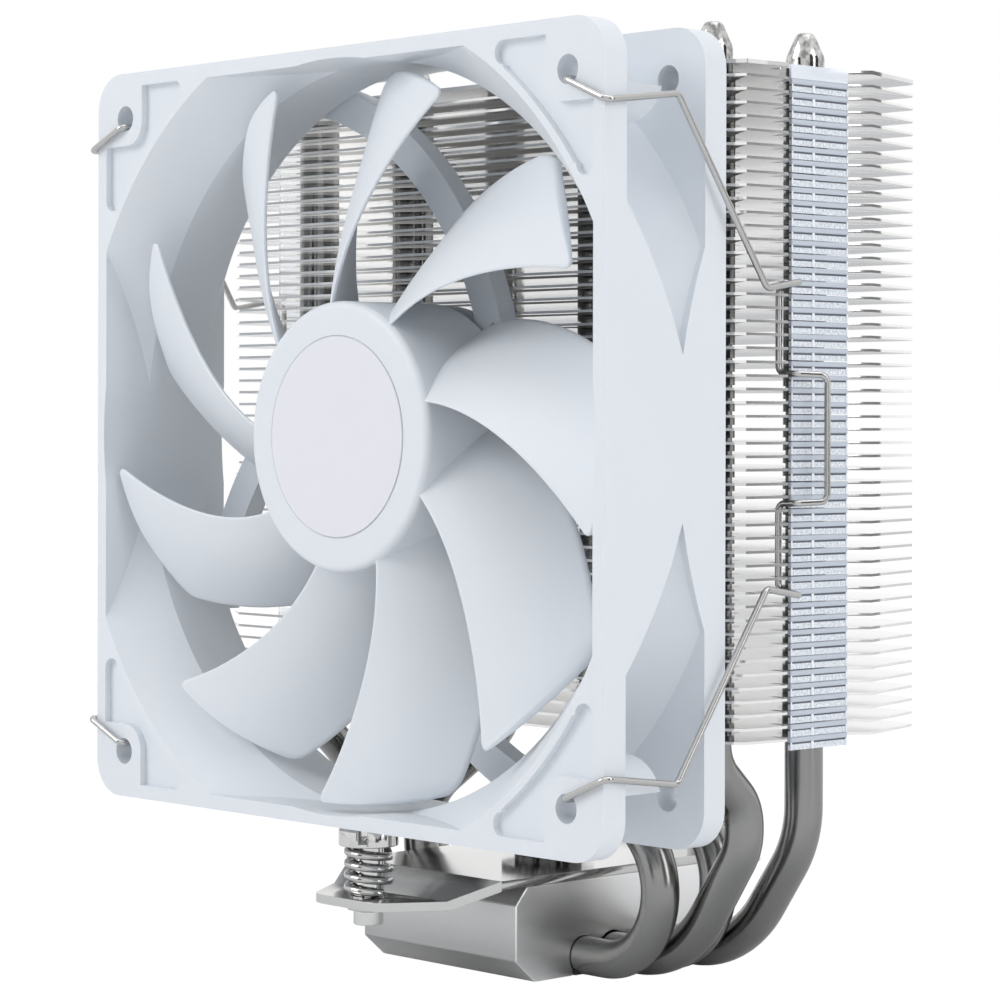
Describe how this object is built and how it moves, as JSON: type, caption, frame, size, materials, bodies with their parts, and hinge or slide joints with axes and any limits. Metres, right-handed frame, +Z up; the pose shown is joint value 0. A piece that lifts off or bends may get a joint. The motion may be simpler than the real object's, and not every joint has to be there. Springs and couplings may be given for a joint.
{
  "type": "cpu tower cooler",
  "caption": "Tower cooler for a processor: upright fin stack on bent heat pipes, a grooved base block with a sprung crossbar, and an axial fan held on by wire clips.",
  "frame": {"origin": "centre of the flat contact face under the base block", "axes": "+X right seen from the fan, +Y from the fan to the rear of the fins, +Z up along the pipes"},
  "size_m": [0.1288, 0.093, 0.148],
  "materials": {
    "fan_plastic": "satin",
    "fin_metal": "satin",
    "top_metal": "bright",
    "pipe_metal": "polished nickel plating",
    "base_metal": "brushed",
    "bar_metal": "polished",
    "knob_metal": "knurled",
    "screw_metal": "polished",
    "spring_metal": "bright wire",
    "wire_metal": "bright wire",
    "label_film": "matte",
    "board": "matte",
    "core_steel": "laminated",
    "coil_wire": "enamelled wire",
    "bearing_brass": "plain",
    "shaft_steel": "ground",
    "cup_steel": "pressed",
    "magnet": "matte",
    "washer_nylon": "matte"
  },
  "bodies": {
    "cooler": {"base_block": "base_metal", "heat_pipe_1": "pipe_metal", "heat_pipe_2": "pipe_metal", "heat_pipe_3": "pipe_metal", "heat_pipe_4": "pipe_metal", "cooling_fins": "fin_metal", "top_plate": "top_metal", "crossbar": "bar_metal", "fan_frame": "fan_plastic", "fan_label": "label_film", "circuit_board": "board", "stator_core": "core_steel", "stator_coils": "coil_wire", "bearing_sleeve": "bearing_brass", "front_spring": "spring_metal", "rear_spring": "spring_metal"},
    "rotor": {"impeller": "fan_plastic", "hub_disc": "label_film", "rotor_cup": "cup_steel", "ring_magnet": "magnet", "fan_shaft": "shaft_steel", "shaft_washer": "washer_nylon"},
    "knob_part": {"crossbar_knob": "knob_metal"},
    "front_press_part": {"front_retaining_ring": "spring_metal"},
    "front_screw_part": {"front_screw": "screw_metal"},
    "rear_press_part": {"rear_retaining_ring": "spring_metal"},
    "rear_screw_part": {"rear_screw": "screw_metal"},
    "left_clip_part": {"fan_clip_left": "wire_metal"},
    "right_clip_part": {"fan_clip_right": "wire_metal"}
  },
  "joints": [
    {"name": "rotor_spin", "type": "hinge", "parent": "cooler", "child": "rotor", "pos_m": [0, -0.035, 0.0849], "axis": [0, 1, 0], "continuous": true},
    {"name": "knob_turn", "type": "hinge", "parent": "cooler", "child": "knob_part", "pos_m": [0, 0, 0.0165], "axis": [0, 0, 1], "continuous": true},
    {"name": "front_press", "type": "slide", "parent": "cooler", "child": "front_press_part", "axis": [0, 0, -1], "range_m": [0, 0.002], "stiffness_N_per_m": 3000, "deforming": ["front_spring"]},
    {"name": "front_turn", "type": "hinge", "parent": "front_press_part", "child": "front_screw_part", "pos_m": [0, -0.039, 0.0213], "axis": [0, 0, 1], "continuous": true},
    {"name": "rear_press", "type": "slide", "parent": "cooler", "child": "rear_press_part", "axis": [0, 0, -1], "range_m": [0, 0.002], "stiffness_N_per_m": 3000, "deforming": ["rear_spring"]},
    {"name": "rear_turn", "type": "hinge", "parent": "rear_press_part", "child": "rear_screw_part", "pos_m": [0, 0.039, 0.0213], "axis": [0, 0, 1], "continuous": true},
    {"name": "left_clip_swing", "type": "hinge", "parent": "cooler", "child": "left_clip_part", "pos_m": [-0.0524, -0.04815, 0.0849], "axis": [0, 0, 1], "range_deg": [0, 12]},
    {"name": "right_clip_swing", "type": "hinge", "parent": "cooler", "child": "right_clip_part", "pos_m": [0.0524, -0.04815, 0.0849], "axis": [0, 0, -1], "range_deg": [0, 12]}
  ]
}
